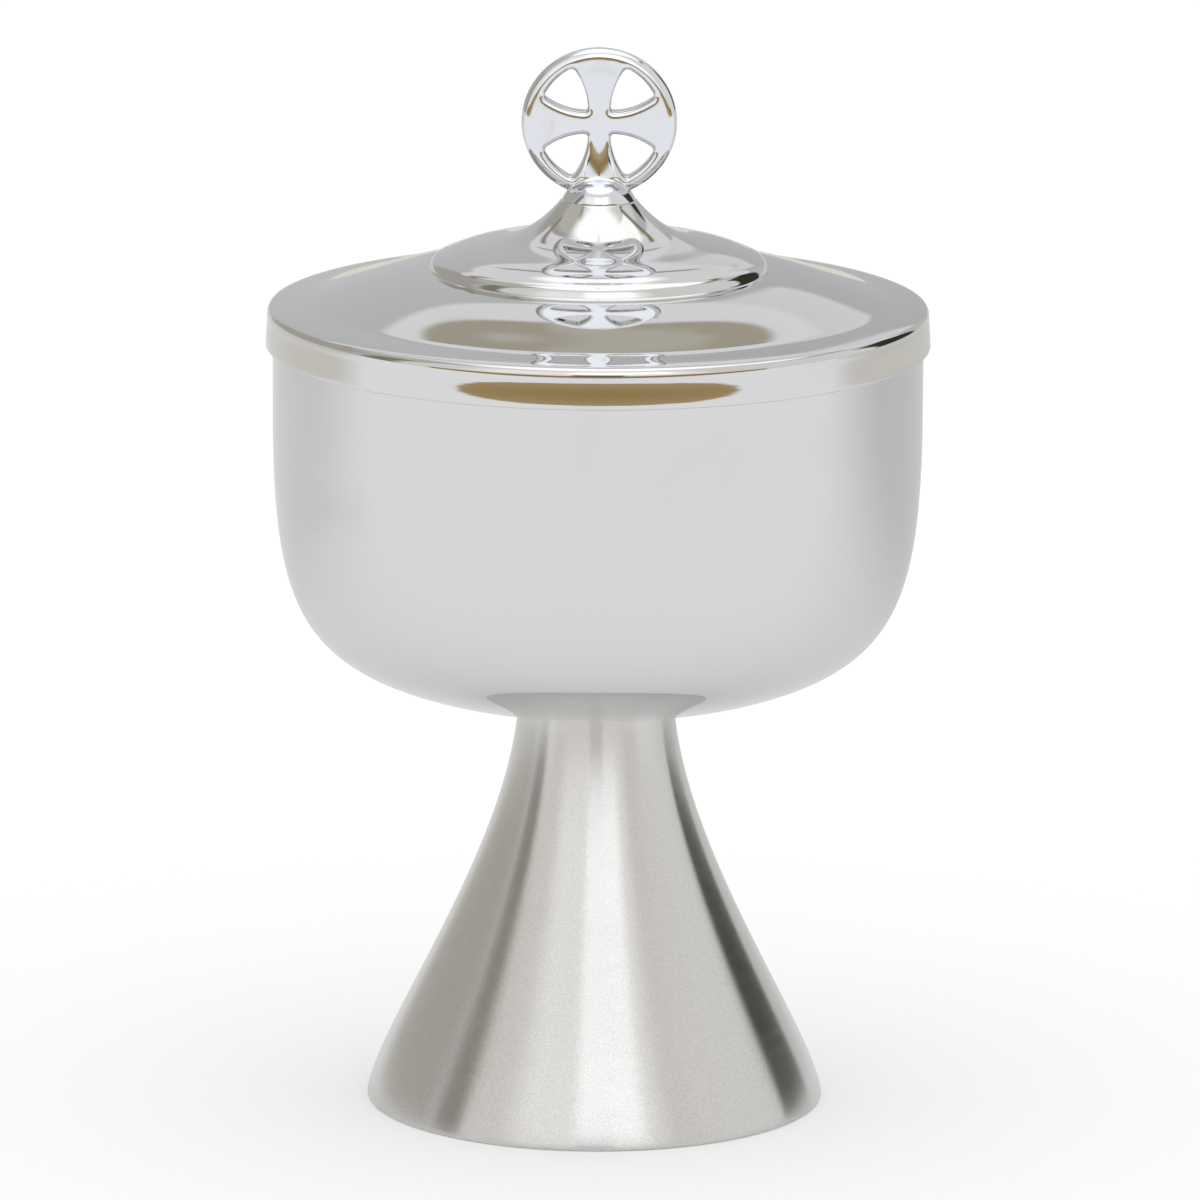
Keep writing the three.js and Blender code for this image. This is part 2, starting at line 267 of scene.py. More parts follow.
def capped(shape: Shape) -> None:
    """Closes the open ends of a shape."""
    bmesh.ops.holes_fill(shape, edges=[edge for edge in shape.edges if edge.is_boundary], sides=0)


def cut_off(shape: Shape, height: float, way: int) -> None:
    """Removes what lies past a level plane: above it if the way is 1, below it if it is -1."""
    bmesh.ops.bisect_plane(
        shape, geom=all_of(shape), plane_co=(0, 0, height), plane_no=(0, 0, way), clear_outer=True
    )


def spun(
    section: list[Vector],
    closed: bool = False,
    steps: int = SPIN_STEPS,
    turn: float = 2 * math.pi,
) -> Shape:
    """Spins a half section round the axis.

    Args:
        section: The points of the section.
        closed: Whether the last point joins the first.
        steps: The number of steps of the turn.
        turn: The angle of the turn. Less than a full one leaves two open ends, which are closed.

    Returns:
        The turned surface, with its doubles merged and its faces outward.
    """
    shape = bmesh.new()
    whole = turn >= 2 * math.pi
    swept(shape, chained(shape, section, closed), steps, turn, merge=whole)
    bmesh.ops.remove_doubles(shape, verts=shape.verts, dist=MERGE)
    bmesh.ops.dissolve_degenerate(shape, dist=MERGE / 10, edges=shape.edges)
    if not whole:
        capped(shape)
    bmesh.ops.recalc_face_normals(shape, faces=shape.faces)
    return shape


def walled(section: list[Vector], wall: float, inside: Vector) -> Shape:
    """Spins the outer side of a shell and gives it its wall.

    Args:
        section: The outer side, from one rim to the other or to the axis.
        wall: The thickness of the metal.
        inside: A point on the hollow side of the shell.

    Returns:
        The closed shell. A face layer marks its inner side.
    """
    shape = spun(section)
    shape.faces.ensure_lookup_table()
    face = shape.faces[0]
    if face.normal.dot(face.calc_center_median() - inside) < 0:
        bmesh.ops.reverse_faces(shape, faces=shape.faces)
    layer = shape.faces.layers.float.new(INNER_SIDE)
    made = bmesh.ops.solidify(shape, geom=shape.faces[:], thickness=wall)["geom"]
    for part in made:
        if isinstance(part, bmesh.types.BMFace):
            part[layer] = 1.0
    return shape


# Materials


class Nodes:
    """A short way to place and link shader nodes."""

    def __init__(self, tree: bpy.types.NodeTree) -> None:
        """Starts on an empty tree."""
        self.tree = tree
        self.tree.nodes.clear()

    def add(self, kind: str, inputs: dict | None = None, **settings: object) -> bpy.types.Node:
        """Adds a node.

        Args:
            kind: The node's type.
            inputs: Values or sockets by input name or index.
            settings: Values of the node's own properties.

        Returns:
            The node.
        """
        node = self.tree.nodes.new(kind)
        for name, value in settings.items():
            setattr(node, name, value)
        for name, value in (inputs or {}).items():
            if isinstance(value, Socket):
                self.tree.links.new(value, node.inputs[name])
            else:
                node.inputs[name].default_value = value
        return node

    def math(self, operation: str, *values: object) -> Socket:
        """Adds a Math node and returns its result."""
        return self.add("ShaderNodeMath", dict(enumerate(values)), operation=operation).outputs[0]

    def reach(self, across: object, deep: object) -> Socket:
        """Returns the distance from the axis, by the two level coordinates."""
        squares = self.math("ADD", self.math("MULTIPLY", across, across), self.math("MULTIPLY", deep, deep))
        return self.math("SQRT", squares)

    def ramp(self, value: object, low: object, high: object) -> Socket:
        """Adds a smooth Map Range node from 0 to 1 and returns its result."""
        places = {"Value": value, "From Min": low, "From Max": high}
        return self.add("ShaderNodeMapRange", places, interpolation_type="SMOOTHSTEP").outputs["Result"]

    def noise(self, place: object, scale: object, **inputs: float) -> Socket:
        """Adds a Noise Texture and returns its value."""
        values = {"Vector": place, "Scale": scale, **inputs}
        return self.add("ShaderNodeTexNoise", values).outputs[0]

    def cells(self, place: object, scale: object, kind: str) -> Socket:
        """Adds a Voronoi Texture and returns its distance."""
        values = {"Vector": place, "Scale": scale, "Randomness": 1.0}
        return self.add("ShaderNodeTexVoronoi", values, feature=kind).outputs[0]

    def bump(self, height: object, distance: float, strength: float) -> Socket:
        """Adds a Bump node and returns its normal."""
        values = {"Height": height, "Distance": distance, "Strength": strength}
        return self.add("ShaderNodeBump", values).outputs[0]

    def mix(self, share: object, one: object, two: object) -> Socket:
        """Mixes two colours by the colour sockets of a Mix node and returns the result."""
        node = self.add("ShaderNodeMix", data_type="RGBA")
        for index, value in ((0, share), (6, one), (7, two)):
            if isinstance(value, Socket):
                self.tree.links.new(value, node.inputs[index])
            else:
                node.inputs[index].default_value = value
        return node.outputs[2]

    def placed(self, tree: bpy.types.NodeTree, **values: float) -> dict[str, Socket]:
        """Places a node group.

        Args:
            tree: The group.
            values: Its inputs, by their names with an underscore for each space.

        Returns:
            The group's outputs by name.
        """
        node = self.add("ShaderNodeGroup", node_tree=tree)
        for name, value in values.items():
            node.inputs[name.replace("_", " ")].default_value = value
        return {output.name: output for output in node.outputs}

    def inner_side(self) -> Socket:
        """Returns the mask of a shell's inner side."""
        return self.add("ShaderNodeAttribute", attribute_name=INNER_SIDE).outputs["Fac"]

    def metal(self, colour: object, roughness: object, bump: object, **constants: object) -> None:
        """Ends the tree with a metal.

        Args:
            colour: The base colour.
            roughness: The roughness.
            bump: The normal.
            constants: Values or sockets of other inputs, named with an underscore for each space.
        """
        inputs = {"Base Color": colour, "Metallic": 1.0, "Roughness": roughness, "Normal": bump}
        inputs |= {name.replace("_", " "): value for name, value in constants.items()}
        shader = self.add("ShaderNodeBsdfPrincipled", inputs)
        self.add("ShaderNodeOutputMaterial", {"Surface": shader.outputs[0]})


def rgba(colour: Colour) -> tuple[float, float, float, float]:
    """Returns a colour with full alpha."""
    return (*colour, 1.0)


def started(name: str) -> tuple[bpy.types.Material, Nodes]:
    """Starts a material and returns it with its nodes."""
    finish = bpy.data.materials.new(name)
    finish.use_nodes = True
    return finish, Nodes(finish.node_tree)


def group_of(
    name: str, inputs: dict[str, float], outputs: tuple[str, ...]
) -> tuple[bpy.types.NodeTree, Nodes]:
    """Starts a shader node group.

    Args:
        name: The group's name.
        inputs: Its float inputs, with their defaults.
        outputs: Its float outputs.

    Returns:
        The group and its nodes.
    """
    tree = bpy.data.node_groups.new(name, "ShaderNodeTree")
    for label, default in inputs.items():
        socket = tree.interface.new_socket(label, in_out="INPUT", socket_type="NodeSocketFloat")
        socket.default_value = default
    for label in outputs:
        tree.interface.new_socket(label, in_out="OUTPUT", socket_type="NodeSocketFloat")
    return tree, Nodes(tree)


def turned_lines_group() -> bpy.types.NodeTree:
    """Builds the fine lines that a tool or a brush leaves round the axis.

    Returns:
        A group with the lines' height (Lines) and their slow changes round the piece (Drift).
    """
    inputs = {"Lines per mm": 6.0, "Length": 2.0, "Seed": 0.0}
    tree, n = group_of("Turned lines", inputs, ("Lines", "Drift"))
    given = n.add("NodeGroupInput").outputs
    place = n.add("ShaderNodeTexCoord").outputs["Object"]
    parts = n.add("ShaderNodeSeparateXYZ", {0: place}).outputs
    reach = n.reach(parts[0], parts[1])
    safe = n.math("MAXIMUM", reach, 1e-5)
    round_x = n.math("MULTIPLY", n.math("DIVIDE", parts[0], safe), given["Length"])
    round_y = n.math("MULTIPLY", n.math("DIVIDE", parts[1], safe), given["Length"])
    along = n.math("MULTIPLY_ADD", reach, -0.5, parts[2])
    rows = n.math("MULTIPLY", along, n.math("MULTIPLY", given["Lines per mm"], 1000.0))
    shifted = n.math("ADD", rows, given["Seed"])
    track = n.add("ShaderNodeCombineXYZ", {0: round_x, 1: round_y, 2: shifted}).outputs[0]
    fine = n.noise(track, 1.0, Detail=3.0, Roughness=0.6)
    slow_rows = n.math("MULTIPLY", shifted, 0.06)
    slow_track = n.add("ShaderNodeCombineXYZ", {0: round_x, 1: round_y, 2: slow_rows}).outputs[0]
    slow = n.noise(slow_track, 1.0, Detail=2.0)
    n.add("NodeGroupOutput", {"Lines": fine, "Drift": slow})
    return tree


def handling_group() -> bpy.types.NodeTree:
    """Builds the traces of use: faint cloudy films, fine wiping scratches and small pits.

    Returns:
        A group with a cloudy mask (Film), crossing hairlines (Scratches), a slow unevenness (Swell) and
        sparse specks (Pits).
    """
    inputs = {"Film size": 0.02, "Scratch size": 0.004, "Swell size": 0.03, "Pit size": 0.012}
    tree, n = group_of("Handling", inputs, ("Film", "Scratches", "Swell", "Pits"))
    given = n.add("NodeGroupInput").outputs
    place = n.add("ShaderNodeTexCoord").outputs["Object"]
    per_metre = {label: n.math("DIVIDE", 1.0, given[label]) for label in inputs}
    cloud = n.noise(place, per_metre["Film size"], Detail=5.0, Distortion=0.8)
    hairs = []
    for turn in (0.4, 1.5, 2.6):
        turned = n.add(
            "ShaderNodeMapping",
            {"Vector": place, "Rotation": (turn, 0.7 * turn, 1.9 * turn), "Scale": (1, 9, 9)},
        ).outputs[0]
        cells = n.cells(turned, per_metre["Scratch size"], "DISTANCE_TO_EDGE")
        hairs.append(n.ramp(cells, 0.012, 0.0))
    scratches = n.math("MAXIMUM", n.math("MAXIMUM", hairs[0], hairs[1]), hairs[2])
    thinned = n.math("MULTIPLY", scratches, n.ramp(cloud, 0.4, 0.7))
    swell = n.noise(place, per_metre["Swell size"], Detail=1.0)
    pits = n.ramp(n.cells(place, per_metre["Pit size"], "F1"), 0.035, 0.02)
    film = n.ramp(cloud, 0.5, 0.8)
    n.add("NodeGroupOutput", {"Film": film, "Scratches": thinned, "Swell": swell, "Pits": pits})
    return tree


@dataclass
class Effects:
    """The node groups that several finishes share."""

    lines: bpy.types.NodeTree = field(default_factory=turned_lines_group)
    handling: bpy.types.NodeTree = field(default_factory=handling_group)


@dataclass(frozen=True)
class Finish:
    """A metal finish. Each kind builds its own nodes."""

    name: str

    def dress(self, n: Nodes, effects: Effects) -> None:
        """Builds the metal's nodes.

        Args:
            n: The nodes of the material.
            effects: The shared node groups.
        """
        raise NotImplementedError

    def material(self, effects: Effects) -> bpy.types.Material:
        """Returns the finished material, with the shared node groups placed in it."""
        finish, n = started(self.name)
        self.dress(n, effects)
        return finish


@dataclass(frozen=True)
class PolishedSteel(Finish):
    """Mirror-polished stainless steel, with the polisher's faint lines and a film of handling.

    The inner side of a shell is left duller, with the lines of the spinning tool.
    """

    name: str = "Polished steel"
    colour: Colour = (0.70, 0.70, 0.70)
    film_colour: Colour = (0.66, 0.655, 0.64)
    inner_colour: Colour = (0.62, 0.615, 0.60)
    roughness: float = 0.03
    inner_roughness: float = 0.16
    film_roughness: float = 0.03
    scratch_roughness: float = 0.04
    line_height: float = 0.001
    inner_line_height: float = 0.024
    swell_height: float = 0.06
    pit_height: float = -0.03

    def dress(self, n: Nodes, effects: Effects) -> None:
        """Builds the metal's nodes."""
        sizes = {"Film_size": 0.03, "Scratch_size": 0.009, "Swell_size": 0.045, "Pit_size": 0.02}
        worn = n.placed(effects.handling, **sizes)
        lines = n.placed(effects.lines, Lines_per_mm=4.0, Length=3.0)
        inner = n.inner_side()
        tint = n.mix(worn["Film"], rgba(self.colour), rgba(self.film_colour))
        sides = n.mix(inner, tint, rgba(self.inner_colour))
        haze = n.math("MULTIPLY_ADD", worn["Film"], self.film_roughness, self.roughness)
        rough = n.math("MULTIPLY_ADD", worn["Scratches"], self.scratch_roughness, haze)
        both = n.math("MULTIPLY_ADD", inner, self.inner_roughness, rough)
        line_height = n.math("MULTIPLY_ADD", inner, self.inner_line_height, self.line_height)
        ridges = n.math("MULTIPLY", lines["Lines"], line_height)
        height = n.math("MULTIPLY_ADD", worn["Swell"], self.swell_height, ridges)
        pitted = n.math("MULTIPLY_ADD", worn["Pits"], self.pit_height, height)
        n.metal(sides, both, n.bump(pitted, 0.0006, 1.0))


@dataclass(frozen=True)
class BrushedSteel(Finish):
    """Steel brushed round the axis, so that light is drawn out across the lines."""

    name: str = "Brushed steel"
    colour: Colour = (0.73, 0.724, 0.712)
    line_colour: Colour = (0.70, 0.69, 0.67)
    grain_colour: Colour = (0.655, 0.645, 0.622)
    inner_colour: Colour = (0.50, 0.49, 0.47)
    roughness: float = 0.19
    drift_roughness: float = 0.05
    film_roughness: float = 0.02
    inner_roughness: float = 0.12
    anisotropy: float = 0.95
    line_height: float = 0.02

    def dress(self, n: Nodes, effects: Effects) -> None:
        """Builds the metal's nodes."""
        lines = n.placed(effects.lines, Lines_per_mm=9.0, Length=5.0)
        worn = n.placed(effects.handling, Film_size=0.02, Scratch_size=0.006)
        inner = n.inner_side()
        fine, drift = lines["Lines"], lines["Drift"]
        grain = n.placed(effects.lines, Lines_per_mm=3.0, Length=110.0, Seed=7.0)["Lines"]
        lined = n.mix(n.ramp(fine, 0.45, 0.8), rgba(self.colour), rgba(self.line_colour))
        tint = n.mix(n.ramp(grain, 0.38, 0.62), lined, rgba(self.grain_colour))
        sides = n.mix(inner, tint, rgba(self.inner_colour))
        rough = n.math("MULTIPLY_ADD", drift, self.drift_roughness, self.roughness)
        roughed = n.math("MULTIPLY_ADD", worn["Film"], self.film_roughness, rough)
        both = n.math("MULTIPLY_ADD", inner, self.inner_roughness, roughed)
        tangent = n.add("ShaderNodeTangent", direction_type="RADIAL", axis="Z")
        n.metal(
            sides,
            both,
            n.bump(fine, 0.00002, self.line_height),
            Anisotropic=self.anisotropy,
            Anisotropic_Rotation=0.25,
            Tangent=tangent.outputs[0],
        )


@dataclass(frozen=True)
class PolishedCasting(Finish):
    """A casting polished by hand: bright, with a slightly uneven skin."""

    name: str = "Polished casting"
    colour: Colour = (0.77, 0.785, 0.825)
    worn_colour: Colour = (0.73, 0.74, 0.77)
    roughness: float = 0.05
    scratch_roughness: float = 0.08
    film_roughness: float = 0.05
    pit_height: float = -0.4
    swell_height: float = 0.2

    def dress(self, n: Nodes, effects: Effects) -> None:
        """Builds the metal's nodes."""
        sizes = {"Film_size": 0.006, "Scratch_size": 0.003, "Swell_size": 0.004, "Pit_size": 0.004}
        worn = n.placed(effects.handling, **sizes)
        tint = n.mix(worn["Film"], rgba(self.colour), rgba(self.worn_colour))
        rough = n.math("MULTIPLY_ADD", worn["Scratches"], self.scratch_roughness, self.roughness)
        hazed = n.math("MULTIPLY_ADD", worn["Film"], self.film_roughness, rough)
        height = n.math("MULTIPLY_ADD", worn["Pits"], self.pit_height, worn["Swell"])
        n.metal(tint, hazed, n.bump(height, 0.0001, self.swell_height))


@dataclass(frozen=True)
class PlainSteel(Finish):
    """Plain machined steel of the hidden joints, with the tool's lines and a grey bloom."""

    name: str = "Plain steel"
    colour: Colour = (0.50, 0.50, 0.505)
    bloom_colour: Colour = (0.38, 0.375, 0.365)
    roughness: float = 0.3
    line_roughness: float = 0.16
    line_height: float = 0.6

    def dress(self, n: Nodes, effects: Effects) -> None:
        """Builds the metal's nodes."""
        worn = n.placed(effects.handling, Film_size=0.003)
        lines = n.placed(effects.lines, Lines_per_mm=7.0)
        tint = n.mix(worn["Film"], rgba(self.colour), rgba(self.bloom_colour))
        rough = n.math("MULTIPLY_ADD", lines["Lines"], self.line_roughness, self.roughness)
        n.metal(tint, rough, n.bump(lines["Lines"], 0.00002, self.line_height))


@dataclass
class Finishes:
    """The object's materials, each built once."""

    effects: Effects = field(default_factory=Effects)
    polished: bpy.types.Material = field(init=False)
    brushed: bpy.types.Material = field(init=False)
    casting: bpy.types.Material = field(init=False)
    plain: bpy.types.Material = field(init=False)

    def __post_init__(self) -> None:
        """Builds the materials."""
        self.polished = PolishedSteel().material(self.effects)
        self.brushed = BrushedSteel().material(self.effects)
        self.casting = PolishedCasting().material(self.effects)
        self.plain = PlainSteel().material(self.effects)


def settle(
    piece: bpy.types.Object, body: Body, slot: Slot, material: bpy.types.Material, *nodes: str
) -> None:
    """Gives a piece its finish, its body and the nodes that it stands for.

    Args:
        piece: The finished object.
        body: The body that it rides on.
        slot: The record's slot of its finish. It is not used.
        material: Its material.
        nodes: The CAD nodes that it replaces.
    """
    piece.data.materials.append(material)
    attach(piece, body.value)
    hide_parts(*nodes)
    LOG.info("%s: %d faces", piece.name, len(piece.data.polygons))


# Fasteners


@dataclass
class FlatRing:
    """A turned washer or plate with broken edges."""

    bore: float
    radius: float
    low: float
    high: float
    edge: float = 0.2
    slit: float = 0.0

    def shape(self) -> Shape:
        """Returns the ring, with its slit if it has one."""
        corners = [
            at(self.bore, self.low),
            at(self.radius, self.low),
            at(self.radius, self.high),
            at(self.bore, self.high),
        ]
        section = []
        for index, corner in enumerate(corners):
            before, after = corners[index - 1], corners[(index + 1) % 4]
            section += [
                corner + self.edge * (before - corner).normalized(),
                corner + self.edge * (after - corner).normalized(),
            ]
        middle = (self.bore + self.radius) / 2
        return spun(section, closed=True, steps=SMALL_STEPS, turn=2 * math.pi - self.slit / middle)


@dataclass
class Thread:
    """A threaded stud with chamfered ends."""

    radius: float
    pitch: float
    low: float
    high: float
    chamfer: float = 0.5
    steps: int = 40
    depth_share: float = 0.61

    def shape(self) -> Shape:
        """Returns the stud: a spun thread form, cut to length and closed."""
        depth = self.depth_share * self.pitch
        shape = bmesh.new()
        form = [(0, 0), (0.12, 0), (0.44, depth), (0.56, depth), (0.88, 0), (1, 0)]
        root, start = self.radius - depth, self.low - self.pitch
        line = chained(shape, [at(root + out, start + share * self.pitch) for share, out in form])
        turns = math.ceil((self.high - self.low) / self.pitch) + 2
        swept(shape, line, self.steps * turns, 2 * math.pi * turns, self.pitch / self.steps, merge=False)
        bmesh.ops.remove_doubles(shape, verts=shape.verts, dist=10 * MERGE)
        cut_off(shape, self.low, -1)
        cut_off(shape, self.high, 1)
        capped(shape)
        for vert in shape.verts:
            inset = min(vert.co.z - self.low, self.high - vert.co.z)
            limit = self.radius - max(0.0, self.chamfer - inset)
            reach = vert.co.xy.length
            if reach > limit:
                vert.co.xy *= limit / reach
        bmesh.ops.recalc_face_normals(shape, faces=shape.faces)
        return shape


@dataclass
class HexNut:
    """A hexagon nut with chamfered corners and a countersunk bore."""

    flats: float
    bore: float
    low: float
    high: float
    face_share: float = 0.94
    drop_share: float = 0.55
    sink: float = 0.4

    def shape(self) -> Shape:
        """Returns the nut."""
        corner = self.flats / math.sqrt(3)
        face = self.face_share * self.flats / 2
        drop = self.drop_share * (corner - face)
        height = self.high - self.low
        prism = bmesh.new()
        middle = Matrix.Translation((0, 0, (self.low + self.high) / 2))
        bmesh.ops.create_cone(
            prism,
            cap_ends=True,
            segments=6,
            radius1=corner,
            radius2=corner,
            depth=height,
            matrix=middle @ Matrix.Rotation(math.pi / 6, 4, "Z"),
        )
        blank = [
            at(self.bore + self.sink, self.low),
            at(face, self.low),
            at(corner + 0.01, self.low + drop),
            at(corner + 0.01, self.high - drop),
            at(face, self.high),
            at(self.bore + self.sink, self.high),
            at(self.bore, self.high - self.sink),
            at(self.bore, self.low + self.sink),
        ]
        return combined(prism, spun(blank, closed=True, steps=SMALL_STEPS), Join.COMMON)


# The vessel


@dataclass
class Foot:
    """The spun cone that carries the bowl."""

    height: float = 74
    base_radius: float = 41.8
    neck_radius: float = 14.25
    wall: float = 1
    toe_radius: float = 0.4
    neck_round: float = 0.4
    flange_width: float = 5

    def section(self) -> list[Vector]:
        """Returns the outer side from the turned-in flange to the neck."""
        toe = at(self.base_radius, self.toe_radius)
        flank = bend(toe, 98.2, 11.9, at(self.neck_radius, self.height), 93, 27.4, 88)
        flange = [at(self.base_radius - self.flange_width, 0), at(self.base_radius, 0)]
        rim = at(self.neck_radius - self.wall, self.height)
        section = eased([*flange, *flank[1:], rim], flange[1], self.toe_radius)
        return eased(section, flank[-1], self.neck_round)

    def build(self, finishes: Finishes) -> None:
        """Builds and dresses the foot.

        Args:
            finishes: The object's materials.
        """
        shape = walled(self.section(), self.wall, at(0, self.height / 3))
        piece = piece_of(shape, "foot")
        settle(piece, Body.VESSEL, Slot.BRUSHED, finishes.brushed, "foot_shell")


@dataclass
class StemJoint:
    """The screwed joint in the foot's neck, which draws the bowl down on the foot."""

    top: float = 74
    plate_radius: float = 12.95
    plate: float = 2
    stud_radius: float = 3
    stud_pitch: float = 1
    bore: float = 3.06
    washer_radius: float = 6.5
    washer: float = 1.2
    lock_width: float = 1.6
    lock: float = 1.4
    lock_slit: float = 0.8
    nut_flats: float = 10
    nut: float = 5
    stud_end: float = 60.4
    stud_top: float = 73.7

    def build(self, finishes: Finishes) -> None:
        """Builds and dresses the plates, washers, nut and stud from the bowl downwards.

        Args:
            finishes: The object's materials.
        """
        disc = self.top - self.plate
        plate = disc - self.plate
        washer = plate - self.washer
        lock = washer - self.lock
        nut = lock - self.nut
        lock_radius = self.bore + 0.24 + self.lock_width
        shapes = {
            "bowl_disc": FlatRing(self.bore, self.plate_radius, disc, self.top),
            "foot_top_plate": FlatRing(self.bore, self.plate_radius, plate, disc),
            "stem_washer": FlatRing(self.bore, self.washer_radius, washer, plate),
            "stem_lock_washer": FlatRing(self.bore, lock_radius, lock, washer, slit=self.lock_slit),
            "stem_nut": HexNut(self.nut_flats, self.bore, nut, lock),
            "stem_stud": Thread(self.stud_radius, self.stud_pitch, self.stud_end, self.stud_top),
        }
        for node, maker in shapes.items():
            piece = piece_of(maker.shape(), node.replace("_", "-"))
            settle(piece, Body.VESSEL, Slot.PLAIN, finishes.plain, node)


@dataclass
class Bowl:
    """The spun cup."""

    base: float = 74
    depth: float = 73.08
    radius: float = 59.14
    wall: float = 0.9
    flat_radius: float = 14.6
    curve_height: float = 54
    lip_radius: float = 0.8

    def section(self) -> list[Vector]:
        """Returns the outer side from the middle of the flat to the lip."""
        top = at(self.radius, self.curve_height)
        side = bend(at(self.flat_radius, 0), 9.7, 37.9, top, 90, 43.2, 110)
        rim = at(self.radius, self.depth - self.lip_radius)
        section = [at(0, 0), *side, rim]
        return [point + at(0, self.base) for point in section]

    def build(self, finishes: Finishes) -> None:
        """Builds and dresses the bowl.

        Args:
            finishes: The object's materials.
        """
        shape = walled(self.section(), self.wall, at(0, self.base + self.depth / 2))
        lip = at(self.radius - self.lip_radius, self.base + self.depth - self.lip_radius)
        turn = Matrix.Translation(lip) @ Matrix.Rotation(math.pi / 2, 4, "X")
        ring = bmesh.ops.create_circle(shape, segments=20, radius=self.lip_radius, matrix=turn)["verts"]
        swept(shape, ring + list({edge for vert in ring for edge in vert.link_edges}))
        bmesh.ops.recalc_face_normals(shape, faces=shape.faces)
        piece = piece_of(shape, "bowl_shell")
        settle(piece, Body.VESSEL, Slot.POLISHED, finishes.polished, "bowl")


# The lid


@dataclass
class Lid:
    """The spun lid, from its skirt over the brim, the crown and the step to its neck."""

    crease_height: float = 147.365
    radius: float = 60.14
    wall: float = 0.7
    skirt_depth: float = 6.9
    skirt_flare: float = 0.262
    skirt_widest: float = 0.5
    waist_depth: float = 1.6
    edge_inset: float = 0.15
    crease_inset: float = 0.14
    brim_radius: float = 52.4
    brim_rise: float = 1.6
    step_radius: float = 30.7
    crown_rise: float = 5.72
    step_rise: float = 2.83
    step_inset: float = 3.1
    neck_rise: float = 9.9
    neck_top_radius: float = 6.8
    hole_radius: float = 2.3
    crease_round: float = 0.5
    fold_round: float = 0.9
    step_round: float = 0.45
    neck_round: float = 0.3

    def section(self) -> list[Vector]:
        """Returns the outer side from the skirt's edge to the hole in the neck."""
        crease = at(self.radius - self.crease_inset, 0)
        fold = at(self.brim_radius, self.brim_rise)
        step_foot = at(self.step_radius, fold.z + self.crown_rise)
        step_top = at(self.step_radius - self.step_inset, step_foot.z + self.step_rise)
        neck_top = at(self.neck_top_radius, step_top.z + self.neck_rise)
        edge = at(self.radius - self.edge_inset, -self.skirt_depth)
        wide = at(self.radius + self.skirt_flare, self.skirt_widest - self.skirt_depth)
        waist = at(self.radius, -self.waist_depth)
        hem = bend(edge, 20, 0.25, wide, 90, 0.35, 6)
        flare = bend(wide, 90, 0.9, waist, 90, 0.9, 20)
        rise = bend(waist, 90, 0.5, crease, 101, 0.8, 10)
        brim = bend(crease, 120, 0.96, fold, 171.2, 4, 44)
        crown = bend(fold, 162.8, 9, step_foot, 174.6, 7, 56)
        step = bend(step_foot, 100, 2.2, step_top, 156.2, 2, 18)
        neck = bend(step_top, 156.2, 8.4, neck_top, 129.7, 12.4, 42)
        section = [*hem, *flare[1:], *rise[1:], *brim[1:], *crown[1:], *step[1:], *neck[1:]]
        section.append(at(self.hole_radius, neck_top.z))
        section = eased(section, neck_top, self.neck_round)
        section = eased(section, step_foot, self.step_round)
        section = eased(section, fold, self.fold_round)
        section = eased(section, crease, self.crease_round)
        return [point + at(0, self.crease_height) for point in section]

    def build(self, finishes: Finishes) -> None:
        """Builds and dresses the lid.

        Args:
            finishes: The object's materials.
        """
        shape = walled(self.section(), self.wall, at(0, self.crease_height - self.skirt_depth))
        piece = piece_of(shape, "lid")
        settle(piece, Body.LID, Slot.POLISHED, finishes.polished, "lid_shell")


